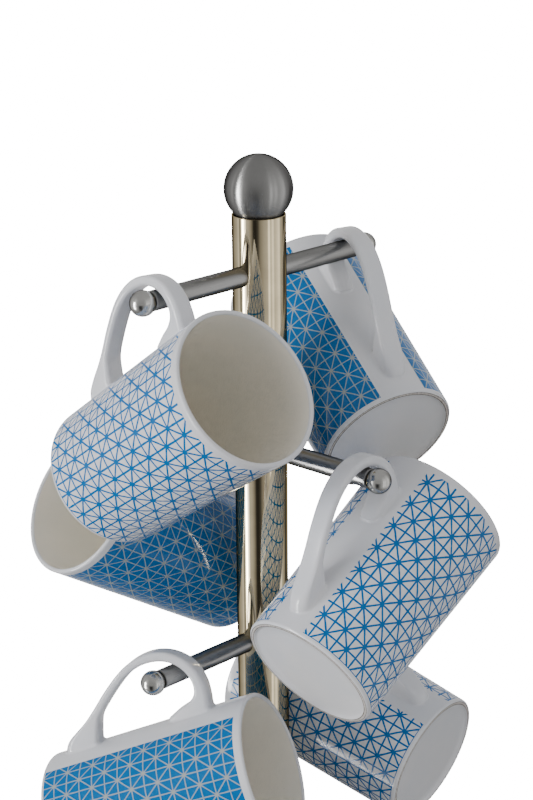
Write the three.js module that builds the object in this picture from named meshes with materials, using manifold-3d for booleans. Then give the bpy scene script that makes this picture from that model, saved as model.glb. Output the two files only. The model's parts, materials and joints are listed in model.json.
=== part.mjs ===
// A mug tree: a weighted round base, a plated tube for a post, three rods that cross it as six arms,
// a ball on top, and six mugs that hang by their handles. Millimetres, +Z up, front towards -Y.
// The origin is the centre of the base pad's underside.
import * as THREE from "three";
import { mergeVertices } from "three/addons/utils/BufferGeometryUtils.js";
import Module from "manifold-3d";

// ---------------------------------------------------------------- driving dimensions

const GAP = 0.3; // between pieces that touch, and round each rod and stud in its hole

// Post, and the plugs and blocks pressed into it
const POST_R = 12.7;
const POST_WALL = 1.0;
const POST_TOP_Z = 364;
const BOTTOM_PLUG_H = 28;
const BOTTOM_BORE_H = 20;
const TOP_PLUG_Z = 344; // its lower face
const TOP_PLUG_H = 13;
const TOP_BORE_H = 11;
const ARM_BLOCK_H = 14;

// Ball on the post's top, and the stud that holds it
const FINIAL_R = 16.2;
const FINIAL_MOUTH_R = 5;
const FINIAL_STUD_R = 3;
const FINIAL_STUD_L = 25;

// Arms: one straight rod through the post, with a ball on each end
const ROD_R = 4.75;
const ROD_CHAMFER = 0.5;
const TIP_R = 6;
const TIP_REACH = 71.8; // from the post's axis to the tip ball's centre
const TIP_FLAT = 4.2; // from the tip ball's centre to the flat that meets the rod
const TIP_STUD_R = 1.6;
const TIP_STUD_L = 10;

// Base: a pad under a cast weight, both under a spun cover, drawn up to the post by one bolt
const PAD_R = 73;
const PAD_H = 2.4;
const COVER_R = 75;
const COVER_T = 0.8;
const COVER_EDGE_Z = 1.2;
const COVER_TOP_Z = 17;
const COVER_FLAT_R = 16;
const COVER_FALL = 5; // how far the dome drops from its flat to its shoulder
const DOME_SHARES = [0.8, 0.55, 0.3, 0]; // points down the dome, as shares of its reach
const SHOULDER_R = 5;
const SHOULDER_Z = 7;
const SHOULDER_END = 79.5; // degrees round the shoulder where the dome begins
const WEIGHT_INSET = 1.2; // from the cover's outer surface
const COUNTERBORE_R = 9.8;
const COUNTERBORE_Z = 9;
const BOLT_R = 4;
const BOLT_L = 29;
const BOLT_HEAD_R = 7.5;
const BOLT_HEAD_H = 3.9;
const BOLT_HEAD_Z = 2.9;
const BOLT_HEAD_SIDES = 6;
const BOLT_OVERLAP = 1; // of the shank into the head
const WASHER_R = 9.4;
const WASHER_H = 1.5;

// Mug: it stands on Z = 0 with its handle towards +X
const MUG_H = 108;
const MUG_BASE_R = 33.75;
const MUG_RIM_R = 36.5;
const MUG_WALL = 3;
const MUG_FLOOR = 5.5;
const RECESS_R = 28.5;
const RECESS_H = 1.6;
const RECESS_SLOPE = 0.8; // how far the recess's side leans in
const BASE_CORNER_R = 4;
const INNER_CORNER_R = 8;
const SECTION_POWER = 0.8; // below 1 it squares the handle's round section

// Handle: its centre line from the foot to the root, as [height, distance from the mug's axis]
const HANDLE_LINE = [
  [17.5, 32.4],
  [20.5, 37.5],
  [33, 49.9],
  [49, 62.2],
  [60, 66.6],
  [70, 67.3],
  [79.5, 63.8],
  [86, 55.5],
  [87.6, 45],
  [86.4, 33.3],
];
// Half width and half thickness of the strap at its foot, along its length and at its root
const FOOT_SIZE = [7.8, 8.6];
const STRAP_SIZE = [5.1, 2.4];
const ROOT_SIZE = [6, 4];
const FOOT_FLARE_L = 24; // how far from the foot its width reaches the strap's
const FOOT_FILLET_L = 14; // the same for its thickness
const ROOT_FLARE_L = 32;
// A spur runs down the wall from the root, inside the handle
const SPUR_LINE = [
  [84, 37.5],
  [78, 36.6],
  [72, 35.6],
  [66, 34],
];
const SPUR_SIZE = [4.6, 2.8];
const SPUR_TAPER = 0.75; // the share of its size lost by its lower end

// Levels of the rods, and the direction of each rod's front end in degrees from +X
const LEVELS = {
  bottom: { z: 149, front: -136.7 },
  middle: { z: 250, front: -41.9 },
  top: { z: 336, front: -135.8 },
};

// How each mug hangs. along: from the post's axis to the seat on the rod. seat: the point on the
// inner side of the handle that rests there. yaw: how far the mug is off square to its arm.
// swing: how far its mouth points above level. lean: its turn about its own axis.
const MUGS = {
  top_front: { glaze: "white", along: 61.5, yaw: 2.6, swing: 35.5, lean: -5.1, seat: [79.8, 59.9] },
  top_back: { glaze: "blue", along: 57.8, yaw: -16.6, swing: 30.1, lean: -1.5, seat: [80.4, 58.2] },
  middle_front: { glaze: "white", along: 61.8, yaw: -1.5, swing: 29.2, lean: -0.3, seat: [77.4, 62] },
  middle_back: { glaze: "blue", along: 61, yaw: -12.8, swing: 33, lean: 4.2, seat: [79.1, 60.3] },
  bottom_front: { glaze: "blue", along: 59, yaw: 34.2, swing: 22.2, lean: -10.8, seat: [77.1, 60.7] },
  bottom_back: { glaze: "white", along: 39, yaw: 9, swing: 13, lean: -9.9, seat: [79.4, 58] },
};

// Facets round each kind of piece
const POST_SIDES = 40;
const ROD_SIDES = 20;
const SMALL_SIDES = 14;
const BASE_SIDES = 40;
const MUG_SIDES = 24;
const STRAP_SIDES = 8;
const STRAP_STEPS = 16;
const SPUR_STEPS = 4;
const FINIAL_SIDES = 28;
const FINIAL_STEPS = 12;
const TIP_SIDES = 16;
const TIP_STEPS = 5;
const SHOULDER_STEPS = 4;
const CORNER_STEPS = 3;

const LOOKS = {
  plated: { color: 0xcdbf9b, metalness: 1, roughness: 0.12 },
  brushed: { color: 0x9a9a9a, metalness: 1, roughness: 0.38 },
  polished: { color: 0xb4b4b2, metalness: 1, roughness: 0.16 },
  zinc: { color: 0xa4a6a8, metalness: 1, roughness: 0.4 },
  cast: { color: 0x3b3c3e, metalness: 0.8, roughness: 0.75 },
  nylon: { color: 0xd9d8d2, metalness: 0, roughness: 0.6 },
  rubber: { color: 0x1d1e20, metalness: 0, roughness: 0.85 },
  white: { color: 0xe6e6e8, metalness: 0, roughness: 0.12 },
  blue: { color: 0x1479b8, metalness: 0, roughness: 0.12 },
};

// ---------------------------------------------------------------- helpers

const wasm = await Module();
wasm.setup();

const { degToRad, lerp, smoothstep } = THREE.MathUtils;

function piece(name, look, geometry) {
  const mesh = new THREE.Mesh(geometry, new THREE.MeshStandardMaterial(LOOKS[look]));
  mesh.name = name;
  return mesh;
}

// Points of an arc in an outline, with both ends; the angles are in degrees.
function arc(r, z, radius, from, to, steps) {
  return Array.from({ length: steps + 1 }, (_, i) => {
    const angle = degToRad(lerp(from, to, i / steps));
    return [r + radius * Math.cos(angle), z + radius * Math.sin(angle)];
  });
}

// Turns an outline of [radius, height] points round Z. The outline runs anticlockwise.
function turned(outline, sides) {
  const points = outline.map(([r, z]) => new THREE.Vector2(r, z));
  return new THREE.LatheGeometry(points, sides).rotateX(Math.PI / 2);
}

// A cylinder along Z between two heights.
function cylinder(radius, low, high, sides) {
  return turned([[0, low], [radius, low], [radius, high], [0, high]], sides);
}

// A cylinder along Z with a blind bore in its lower or upper end.
function boredCylinder(radius, low, high, boreR, boreH, boredAtTop, sides) {
  if (boredAtTop) {
    const rim = [[radius, low], [radius, high], [boreR, high], [boreR, high - boreH]];
    return turned([[0, low], ...rim, [0, high - boreH]], sides);
  }
  const rim = [[boreR, low + boreH], [boreR, low], [radius, low], [radius, high]];
  return turned([[0, low + boreH], ...rim, [0, high]], sides);
}

function toSolid(geometry) {
  const bare = geometry.clone();
  bare.deleteAttribute("normal");
  bare.deleteAttribute("uv");
  const merged = mergeVertices(bare, 1e-4);
  const triVerts = new Uint32Array(merged.index.array);
  const vertProperties = merged.attributes.position.array;
  return new wasm.Manifold(new wasm.Mesh({ numProp: 3, vertProperties, triVerts }));
}

function toGeometry(solid) {
  const mesh = solid.getMesh();
  const geometry = new THREE.BufferGeometry();
  geometry.setAttribute("position", new THREE.BufferAttribute(mesh.vertProperties, 3));
  geometry.setIndex(new THREE.BufferAttribute(mesh.triVerts, 1));
  geometry.computeVertexNormals();
  return geometry;
}

// ---------------------------------------------------------------- base

// Outline of the cover's upper side, from its edge to its flat, moved in by an inset.
function domeLine(inset) {
  const reach = COVER_R - SHOULDER_R - COVER_FLAT_R;
  const shoulderR = COVER_R - SHOULDER_R;
  const shoulder = arc(shoulderR, SHOULDER_Z, SHOULDER_R - inset, 0, SHOULDER_END, SHOULDER_STEPS);
  const dome = DOME_SHARES.map((share) => {
    return [COVER_FLAT_R + share * reach, COVER_TOP_Z - inset - COVER_FALL * share * share];
  });
  return [...shoulder, ...dome];
}

function baseCover() {
  const boltHole = BOLT_R + GAP;
  const inner = COVER_R - COVER_T;
  const outline = [
    [inner, COVER_EDGE_Z],
    [COVER_R, COVER_EDGE_Z],
    ...domeLine(0),
    [boltHole, COVER_TOP_Z],
    [boltHole, COVER_TOP_Z - COVER_T],
    ...domeLine(COVER_T).reverse(),
    [inner, COVER_EDGE_Z],
  ];
  return piece("base_cover", "brushed", turned(outline, BASE_SIDES));
}

function baseWeight() {
  const boltHole = BOLT_R + GAP;
  const outline = [
    [COUNTERBORE_R, PAD_H + GAP],
    [COVER_R - WEIGHT_INSET, PAD_H + GAP],
    ...domeLine(WEIGHT_INSET),
    [boltHole, COVER_TOP_Z - WEIGHT_INSET],
    [boltHole, COUNTERBORE_Z],
    [COUNTERBORE_R, COUNTERBORE_Z],
    [COUNTERBORE_R, PAD_H + GAP],
  ];
  return piece("base_weight", "cast", turned(outline, BASE_SIDES));
}

function basePad() {
  return piece("base_pad", "rubber", cylinder(PAD_R, 0, PAD_H, BASE_SIDES));
}

function baseBolt() {
  const headTop = BOLT_HEAD_Z + BOLT_HEAD_H;
  const head = toSolid(cylinder(BOLT_HEAD_R, BOLT_HEAD_Z, headTop, BOLT_HEAD_SIDES));
  const shank = toSolid(cylinder(BOLT_R, headTop - BOLT_OVERLAP, headTop + BOLT_L, SMALL_SIDES));
  return piece("base_bolt", "zinc", toGeometry(head.add(shank)));
}

function baseWasher() {
  const low = BOLT_HEAD_Z + BOLT_HEAD_H + GAP;
  const high = low + WASHER_H;
  const hole = BOLT_R + GAP;
  const outline = [[hole, low], [WASHER_R, low], [WASHER_R, high], [hole, high], [hole, low]];
  return piece("base_washer", "zinc", turned(outline, ROD_SIDES));
}

// ---------------------------------------------------------------- post and ball

function postTube() {
  const low = COVER_TOP_Z + GAP;
  const inner = POST_R - POST_WALL;
  const outline = [[inner, low], [POST_R, low], [POST_R, POST_TOP_Z], [inner, POST_TOP_Z], [inner, low]];
  let tube = toSolid(turned(outline, POST_SIDES));
  for (const { z, front } of Object.values(LEVELS)) {
    const hole = cylinder(ROD_R + GAP, -2 * POST_R, 2 * POST_R, ROD_SIDES);
    hole.rotateY(Math.PI / 2).rotateZ(degToRad(front)).translate(0, 0, z);
    tube = tube.subtract(toSolid(hole));
  }
  return piece("post_tube", "plated", toGeometry(tube));
}

function bottomPlug() {
  const radius = POST_R - POST_WALL - GAP;
  const low = COVER_TOP_Z + GAP;
  const high = low + BOTTOM_PLUG_H;
  const shape = boredCylinder(radius, low, high, BOLT_R + GAP, BOTTOM_BORE_H, false, ROD_SIDES);
  return piece("post_bottom_plug", "zinc", shape);
}

function topPlug() {
  const radius = POST_R - POST_WALL - GAP;
  const high = TOP_PLUG_Z + TOP_PLUG_H;
  const shape = boredCylinder(radius, TOP_PLUG_Z, high, FINIAL_STUD_R + GAP, TOP_BORE_H, true, ROD_SIDES);
  return piece("post_top_plug", "nylon", shape);
}

function finialStud() {
  const low = TOP_PLUG_Z + TOP_PLUG_H - TOP_BORE_H + GAP;
  const stud = cylinder(FINIAL_STUD_R, low, low + FINIAL_STUD_L, SMALL_SIDES);
  return piece("finial_stud", "zinc", stud);
}

// The ball rests on the inner edge of the post's mouth.
function finialBall() {
  const centre = POST_TOP_Z + Math.sqrt((FINIAL_R + GAP) ** 2 - (POST_R - POST_WALL) ** 2);
  const mouthZ = centre - Math.sqrt(FINIAL_R ** 2 - FINIAL_MOUTH_R ** 2);
  const boreTop = TOP_PLUG_Z + TOP_PLUG_H - TOP_BORE_H + FINIAL_STUD_L + 2 * GAP;
  const boreR = FINIAL_STUD_R + GAP;
  const start = -THREE.MathUtils.radToDeg(Math.acos(FINIAL_MOUTH_R / FINIAL_R));
  const outline = [
    [0, boreTop],
    [boreR, boreTop],
    [boreR, mouthZ],
    ...arc(0, centre, FINIAL_R, start, 90, FINIAL_STEPS),
  ];
  return piece("finial_ball", "brushed", turned(outline, FINIAL_SIDES));
}

// ---------------------------------------------------------------- arms

function armRod(name) {
  const half = TIP_REACH - TIP_FLAT - GAP;
  const boreR = TIP_STUD_R + GAP;
  const boreEnd = half - TIP_STUD_L / 2 - GAP;
  const endHalf = [
    [ROD_R, half - ROD_CHAMFER],
    [ROD_R - ROD_CHAMFER, half],
    [boreR, half],
    [boreR, boreEnd],
    [0, boreEnd],
  ];
  const otherHalf = endHalf.map(([r, z]) => [r, -z]).reverse();
  const shape = turned([...otherHalf, ...endHalf], ROD_SIDES).rotateY(Math.PI / 2);
  return piece(name, "brushed", shape);
}

// A block inside the post that carries the rod, since the tube's own wall is thin.
function armBlock(name) {
  const radius = POST_R - POST_WALL - GAP;
  const block = toSolid(cylinder(radius, -ARM_BLOCK_H / 2, ARM_BLOCK_H / 2, ROD_SIDES));
  const bore = cylinder(ROD_R + GAP, -2 * POST_R, 2 * POST_R, ROD_SIDES).rotateY(Math.PI / 2);
  return piece(name, "nylon", toGeometry(block.subtract(toSolid(bore))));
}

function tipBall(name) {
  const boreR = TIP_STUD_R + GAP;
  const boreEnd = TIP_STUD_L / 2 + GAP - TIP_FLAT;
  const start = -THREE.MathUtils.radToDeg(Math.asin(TIP_FLAT / TIP_R));
  const round = arc(0, 0, TIP_R, start, 90, TIP_STEPS);
  const outline = [[0, boreEnd], [boreR, boreEnd], [boreR, -TIP_FLAT], ...round];
  const ball = piece(name, "polished", turned(outline, TIP_SIDES).rotateY(Math.PI / 2));
  ball.position.x = TIP_REACH;
  return ball;
}

function tipStud(name) {
  const stud = cylinder(TIP_STUD_R, -TIP_STUD_L / 2, TIP_STUD_L / 2, SMALL_SIDES);
  const mesh = piece(name, "zinc", stud.rotateY(Math.PI / 2));
  mesh.position.x = TIP_REACH - TIP_FLAT - GAP / 2;
  return mesh;
}

// ---------------------------------------------------------------- mugs

function mugWall() {
  const lip = MUG_WALL / 2;
  const innerBaseR = MUG_BASE_R - MUG_WALL + GAP;
  const innerR = innerBaseR - INNER_CORNER_R;
  const baseR = MUG_BASE_R - BASE_CORNER_R;
  const outline = [
    [0, RECESS_H],
    [RECESS_R - RECESS_SLOPE, RECESS_H],
    [RECESS_R, 0],
    ...arc(baseR, BASE_CORNER_R, BASE_CORNER_R, -90, 0, CORNER_STEPS),
    ...arc(MUG_RIM_R - lip, MUG_H - lip, lip, 0, 180, CORNER_STEPS),
    ...arc(innerR, MUG_FLOOR + INNER_CORNER_R, INNER_CORNER_R, 0, -90, CORNER_STEPS),
    [0, MUG_FLOOR],
  ];
  return turned(outline, MUG_SIDES);
}

// A closed strap along a line of [height, distance] points. sizeAt gives its half width and half
// thickness at a distance along the line.
function strap(line, sizeAt, steps) {
  const curve = new THREE.CatmullRomCurve3(line.map(([z, x]) => new THREE.Vector3(x, 0, z)));
  const length = curve.getLength();
  const across = new THREE.Vector3(0, 1, 0);
  const positions = [];
  for (let i = 0; i <= steps; i++) {
    const centre = curve.getPointAt(i / steps);
    const normal = new THREE.Vector3().crossVectors(across, curve.getTangentAt(i / steps));
    const [halfWidth, halfThickness] = sizeAt((length * i) / steps, length);
    for (let j = 0; j < STRAP_SIDES; j++) {
      const angle = (2 * Math.PI * j) / STRAP_SIDES;
      const point = centre.clone();
      point.addScaledVector(normal, halfThickness * rounded(Math.cos(angle)));
      point.addScaledVector(across, halfWidth * rounded(Math.sin(angle)));
      positions.push(...point.toArray());
    }
  }
  positions.push(...curve.getPointAt(0).toArray(), ...curve.getPointAt(1).toArray());
  const geometry = new THREE.BufferGeometry();
  geometry.setAttribute("position", new THREE.Float32BufferAttribute(positions, 3));
  geometry.setIndex(strapFaces(steps));
  return geometry;
}

// Squares an ellipse's section a little.
function rounded(value) {
  return Math.sign(value) * Math.abs(value) ** SECTION_POWER;
}

function strapFaces(steps) {
  const faces = [];
  const start = (steps + 1) * STRAP_SIDES;
  for (let j = 0; j < STRAP_SIDES; j++) {
    const next = (j + 1) % STRAP_SIDES;
    for (let i = 0; i < steps; i++) {
      const here = i * STRAP_SIDES;
      const after = here + STRAP_SIDES;
      faces.push(here + j, here + next, after + next, here + j, after + next, after + j);
    }
    faces.push(start, next, j);
    faces.push(start + 1, steps * STRAP_SIDES + j, steps * STRAP_SIDES + next);
  }
  return faces;
}

function handleSize(distance, length) {
  const root = smoothstep(distance, length - ROOT_FLARE_L, length);
  const flares = [FOOT_FLARE_L, FOOT_FILLET_L];
  return [0, 1].map((k) => {
    const foot = smoothstep(distance, 0, flares[k]);
    return lerp(lerp(FOOT_SIZE[k], STRAP_SIZE[k], foot), ROOT_SIZE[k], root);
  });
}

function spurSize(distance, length) {
  const taper = 1 - SPUR_TAPER * smoothstep(distance, 0, length);
  return SPUR_SIZE.map((size) => size * taper);
}

// The mug's body, handle and spur are one piece of china.
function mugShape() {
  const wall = toSolid(mugWall());
  const handle = toSolid(strap(HANDLE_LINE, handleSize, STRAP_STEPS));
  const spur = toSolid(strap(SPUR_LINE, spurSize, SPUR_STEPS));
  const inside = toSolid(mugInside());
  return toGeometry(handle.add(spur).subtract(inside).add(wall));
}

// The space inside the mug, which the handle's ends must not enter.
function mugInside() {
  const baseR = MUG_BASE_R - MUG_WALL + GAP;
  const rimR = MUG_RIM_R - MUG_WALL + GAP;
  return turned([[0, 0], [baseR, 0], [rimR, MUG_H], [0, MUG_H]], MUG_SIDES);
}

// Lays the mug on its side: its axis along +Y, its handle up and its own +Y along the arm.
const LAID = new THREE.Matrix4().makeBasis(
  new THREE.Vector3(0, 0, 1),
  new THREE.Vector3(1, 0, 0),
  new THREE.Vector3(0, 1, 0),
);

function hungMug(name, { glaze, along, yaw, swing, lean, seat }) {
  const [seatHeight, seatDistance] = seat;
  const mug = piece(name, glaze, mugShape());
  const place = new THREE.Matrix4().makeTranslation(along, 0, ROD_R + GAP);
  place.multiply(new THREE.Matrix4().makeRotationZ(degToRad(yaw)));
  place.multiply(new THREE.Matrix4().makeRotationX(degToRad(swing)));
  place.multiply(LAID);
  const spin = new THREE.Matrix4().makeRotationZ(degToRad(lean));
  place.multiply(spin);
  // The seat stays on the arm's line while the mug spins about its own axis.
  place.multiply(new THREE.Matrix4().makeTranslation(-seatDistance, 0, -seatHeight));
  mug.applyMatrix4(place);
  return mug;
}

// ---------------------------------------------------------------- the tree

function armEnd(level, end) {
  const group = new THREE.Group();
  group.rotation.z = end === "front" ? 0 : Math.PI;
  const name = `${level}_${end}`;
  group.add(tipBall(`arm_tip_${name}`), tipStud(`tip_stud_${name}`));
  group.add(hungMug(`mug_${name}`, MUGS[name]));
  return group;
}

function armLevel(level) {
  const { z, front } = LEVELS[level];
  const group = new THREE.Group();
  group.position.z = z;
  group.rotation.z = degToRad(front);
  group.add(armRod(`arm_rod_${level}`), armBlock(`arm_block_${level}`));
  group.add(armEnd(level, "front"), armEnd(level, "back"));
  return group;
}

const mugTree = new THREE.Group();
mugTree.add(basePad(), baseWeight(), baseCover(), baseBolt(), baseWasher());
mugTree.add(postTube(), bottomPlug(), topPlug(), finialStud(), finialBall());
mugTree.add(...Object.keys(LEVELS).map(armLevel));

export default mugTree;
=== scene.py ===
"""Looks for a mug tree: a plated post with a steel ball, three crossing arms and six hung mugs.

It is laid out as an add-on and run as a script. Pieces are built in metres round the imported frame.
"""

import json
from math import acos, atan2, cos, degrees, dist, pi, radians, sin, sqrt

import bpy
from bpy.props import FloatProperty, FloatVectorProperty, IntProperty, PointerProperty
from bpy.types import Operator, Panel, PropertyGroup
from mathutils import Matrix, Vector


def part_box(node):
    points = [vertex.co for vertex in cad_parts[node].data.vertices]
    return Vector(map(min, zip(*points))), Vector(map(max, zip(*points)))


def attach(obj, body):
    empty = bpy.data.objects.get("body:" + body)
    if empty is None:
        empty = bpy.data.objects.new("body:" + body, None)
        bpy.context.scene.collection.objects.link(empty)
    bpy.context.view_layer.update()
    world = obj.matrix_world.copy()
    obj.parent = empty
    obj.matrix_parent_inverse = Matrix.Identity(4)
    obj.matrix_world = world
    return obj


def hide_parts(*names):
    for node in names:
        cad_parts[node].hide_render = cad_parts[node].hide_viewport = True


bl_info = {
    "name": "Mug tree",
    "version": (1, 0, 0),
    "blender": (4, 5, 0),
    "location": "View3D > Sidebar > Mug tree",
    "description": "Builds the looks of a six-arm mug tree and its printed china mugs",
    "category": "Object",
}

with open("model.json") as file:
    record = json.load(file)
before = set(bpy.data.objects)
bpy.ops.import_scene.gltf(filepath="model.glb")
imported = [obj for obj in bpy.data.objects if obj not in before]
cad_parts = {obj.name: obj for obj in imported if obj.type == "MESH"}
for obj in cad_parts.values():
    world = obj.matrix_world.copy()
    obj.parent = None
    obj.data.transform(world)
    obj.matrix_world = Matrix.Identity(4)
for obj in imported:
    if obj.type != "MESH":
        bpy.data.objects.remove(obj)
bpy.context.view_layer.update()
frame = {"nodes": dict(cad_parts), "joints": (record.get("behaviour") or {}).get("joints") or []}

MM = 0.001
LEVELS = ("bottom", "middle", "top")
ENDS = ("front", "back")


def half_width(node):
    low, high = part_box(node)
    return (high.x - low.x) / 2


def box_top(node):
    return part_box(node)[1].z


# ------------ hanging

# How each mug hangs: from the post to its seat on the rod, off square to the arm, mouth above
# level, turn about its own axis, and the seat's height and distance inside the handle (mm, deg).
HANG = {
    "top_front": (61.5, 2.6, 35.5, -5.1, 79.8, 59.9),
    "top_back": (57.8, -16.6, 30.1, -1.5, 80.4, 58.2),
    "middle_front": (61.8, -1.5, 29.2, -0.3, 77.4, 62),
    "middle_back": (61, -12.8, 33, 4.2, 79.1, 60.3),
    "bottom_front": (59, 34.2, 22.2, -10.8, 77.1, 60.7),
    "bottom_back": (39, 9, 13, -9.9, 79.4, 58),
}
ROD_GAP = 0.3

# The transfer on each mug: its kind, an angle from the handle where a row of stars starts the
# count, and the angles of its two cut edges, in degrees.
PRINTS = {
    "top_front": ("white", 69.5, 16.6, -19.9),
    "top_back": ("blue", 335.6, 20.0, -21.2),
    "middle_front": ("white", 21.5, 16.6, -19.9),
    "middle_back": ("blue", 34.3, 27.3, -21.2),
    "bottom_front": ("blue", 34.3, 27.3, -21.2),
    "bottom_back": ("white", 336.3, 16.6, -19.9),
}
ROW_PITCH = 9.86  # degrees between rows of stars
COLUMN_START = 0.8  # mm up the wall
COLUMN_PITCH = 6.965  # mm between columns of stars
PRINT_RADIUS = 35.1  # mm: the wall's middle radius, where the rows' spacing is taken
LINE_SOFT, STAR_SOFT = 0.06, 0.35  # mm over which the ink fades at an edge


def arm_frame(level, end):
    """The matrix whose X runs out along that arm from the post's axis, at the arm's height."""
    low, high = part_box("arm_rod_" + level)
    name = f"mug_{level}_{end}_lift_off"
    axis = next(j["axis"] for j in frame["joints"] if j["name"] == name)
    turn = Matrix.Rotation(atan2(axis[1], axis[0]), 4, "Z")
    return Matrix.Translation((0, 0, (low.z + high.z) / 2)) @ turn


def rod_radius():
    low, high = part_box("arm_rod_top")
    return (high.z - low.z) / 2


def mug_frame(name):
    """The matrix that takes an upright mug, handle towards +X, to where it hangs."""
    along, yaw, swing, lean, seat_height, seat_distance = HANG[name]
    level, end = name.split("_")
    laid = Matrix(((0, 1, 0, 0), (0, 0, 1, 0), (1, 0, 0, 0), (0, 0, 0, 1)))
    seat = Matrix.Translation((-seat_distance * MM, 0, -seat_height * MM))
    out = Matrix.Translation((along * MM, 0, rod_radius() + ROD_GAP * MM))
    turn = Matrix.Rotation(radians(yaw), 4, "Z") @ Matrix.Rotation(radians(swing), 4, "X")
    return arm_frame(level, end) @ out @ turn @ laid @ Matrix.Rotation(radians(lean), 4, "Z") @ seat


# ------------ settings


LENGTH = {"unit": "LENGTH", "precision": 4}
TINT = {"subtype": "COLOR", "size": 3}


class MugTreeSizes(PropertyGroup):
    """Sizes of the pieces that are made here, in metres."""

    post_radius: FloatProperty(
        name="Post radius", description="Outer radius of the tube",
        default=half_width("post_tube"), **LENGTH)
    post_wall: FloatProperty(
        name="Post wall", description="Thickness of the tube",
        default=1.0 * MM, **LENGTH)
    rod_radius: FloatProperty(
        name="Rod radius", description="Radius of each arm's rod",
        default=rod_radius(), **LENGTH)
    tip_radius: FloatProperty(
        name="Tip radius", description="Radius of the ball on each arm's end",
        default=6.0 * MM, **LENGTH)
    tip_reach: FloatProperty(
        name="Tip reach", description="From the post's axis to the tip ball's centre",
        default=71.8 * MM, **LENGTH)
    finial_radius: FloatProperty(
        name="Ball radius", description="Radius of the ball on the post",
        default=half_width("finial_ball"), **LENGTH)
    cover_radius: FloatProperty(
        name="Base radius", description="Radius of the base's spun cover",
        default=half_width("base_cover"), **LENGTH)
    mug_height: FloatProperty(
        name="Mug height", description="Height of a mug",
        default=108 * MM, **LENGTH)
    mug_base_radius: FloatProperty(
        name="Mug base radius", description="Outer radius at the mug's foot",
        default=33.75 * MM, **LENGTH)
    mug_rim_radius: FloatProperty(
        name="Mug rim radius", description="Outer radius at the mug's rim",
        default=36.5 * MM, **LENGTH)
    mug_sides: IntProperty(
        name="Mug sides", description="Facets round a mug's wall", default=144, min=24, max=256)


class MugTreeColours(PropertyGroup):
    """Colours of the finishes, as linear values."""

    plating: FloatVectorProperty(
        name="Plating", description="Pale gold plating on the post",
        default=(0.82, 0.70, 0.46), **TINT)
    steel: FloatVectorProperty(
        name="Steel", description="Brushed steel",
        default=(0.36, 0.36, 0.355), **TINT)
    glaze: FloatVectorProperty(
        name="Glaze", description="Clear glaze over white china",
        default=(0.73, 0.735, 0.765), **TINT)
    # Painted shade: the inside is the same white china as the outside; this warmer colour of its own stands
    # in for the warm shade inside the mugs.
    inside_shade_tint: FloatVectorProperty(
        name="Inside shade tint", description="Inside of the mugs",
        default=(0.90, 0.86, 0.77), **TINT)
    ink: FloatVectorProperty(
        name="Ink", description="Blue of the printed ground and lines",
        default=(0.0, 0.155, 0.46), **TINT)
    floor: FloatVectorProperty(
        name="Floor", description="Studio floor",
        default=(0.6, 0.6, 0.6), **TINT)


# ------------ meshes


def arc(r, z, radius, start, end, steps):
    """Points of an arc in an outline, with both ends; angles in degrees."""
    angles = [radians(start + (end - start) * i / steps) for i in range(steps + 1)]
    return [(r + radius * cos(a), z + radius * sin(a)) for a in angles]


def turned(outline, sides=96, angles=None):
    """Vertices, faces and UVs of an outline of (radius, height) turned round Z, anticlockwise.
    U is the angle in turns and V the length along the outline in metres."""
    angles = angles or [2 * pi * i / sides for i in range(sides)]
    sides = len(angles)
    verts, rows = [], []
    for r, z in outline:
        if r < 1e-9:
            rows.append([len(verts)] * sides)
            verts.append((0, 0, z))
            continue
        rows.append(list(range(len(verts), len(verts) + sides)))
        verts += [(r * cos(a), r * sin(a), z) for a in angles]
    faces, uvs = [], []
    run = 0.0
    turns = [a / (2 * pi) for a in angles] + [1.0 + angles[0] / (2 * pi)]
    for k in range(len(rows) - 1):
        step = dist(outline[k], outline[k + 1])
        low, high = rows[k], rows[k + 1]
        for i in range(sides):
            j = (i + 1) % sides
            corners = [(low[i], turns[i], run), (low[j], turns[i + 1], run),
                       (high[j], turns[i + 1], run + step), (high[i], turns[i], run + step)]
            kept, seen = [], set()
            for corner in corners:
                if corner[0] not in seen:
                    kept.append(corner)
                    seen.add(corner[0])
            if len(kept) > 2:
                faces.append([c[0] for c in kept])
                uvs.append([(c[1], c[2]) for c in kept])
        run += step
    return verts, faces, uvs


def make_mesh(name, verts, faces, uvs=None, sharp=35):
    mesh = bpy.data.meshes.new(name)
    mesh.from_pydata([tuple(v) for v in verts], [], faces)
    if uvs:
        layer = mesh.uv_layers.new(name="turned")
        flat = [value for face in uvs for corner in face for value in corner]
        layer.uv.foreach_set("vector", flat)
    mesh.shade_smooth()
    mesh.set_sharp_from_angle(angle=radians(sharp))
    mesh.update()
    return mesh


def make_object(name, mesh, *materials):
    thing = bpy.data.objects.new(name, mesh)
    bpy.context.scene.collection.objects.link(thing)
    for material in materials:
        thing.data.materials.append(material)
    return thing


def applied(thing):
    """A plain mesh of the object with its modifiers applied."""
    bpy.context.view_layer.update()
    evaluated = thing.evaluated_get(bpy.context.evaluated_depsgraph_get())
    return bpy.data.meshes.new_from_object(evaluated)


def finish_piece(thing, body, slot, *nodes):
    """Ties a finished piece to its body and hides the nodes it stands for; slot, its finish, is not used.
    """
    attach(thing, body)
    if nodes:
        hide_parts(*nodes)


# ------------ node helpers


def made_once(store):
    """For makers of named things in bpy.data: asked for a name again, they give the first one."""

    def wrap(maker):
        def give(name, *args, **kwargs):
            return getattr(bpy.data, store).get(name) or maker(name, *args, **kwargs)

        return give

    return wrap


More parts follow.
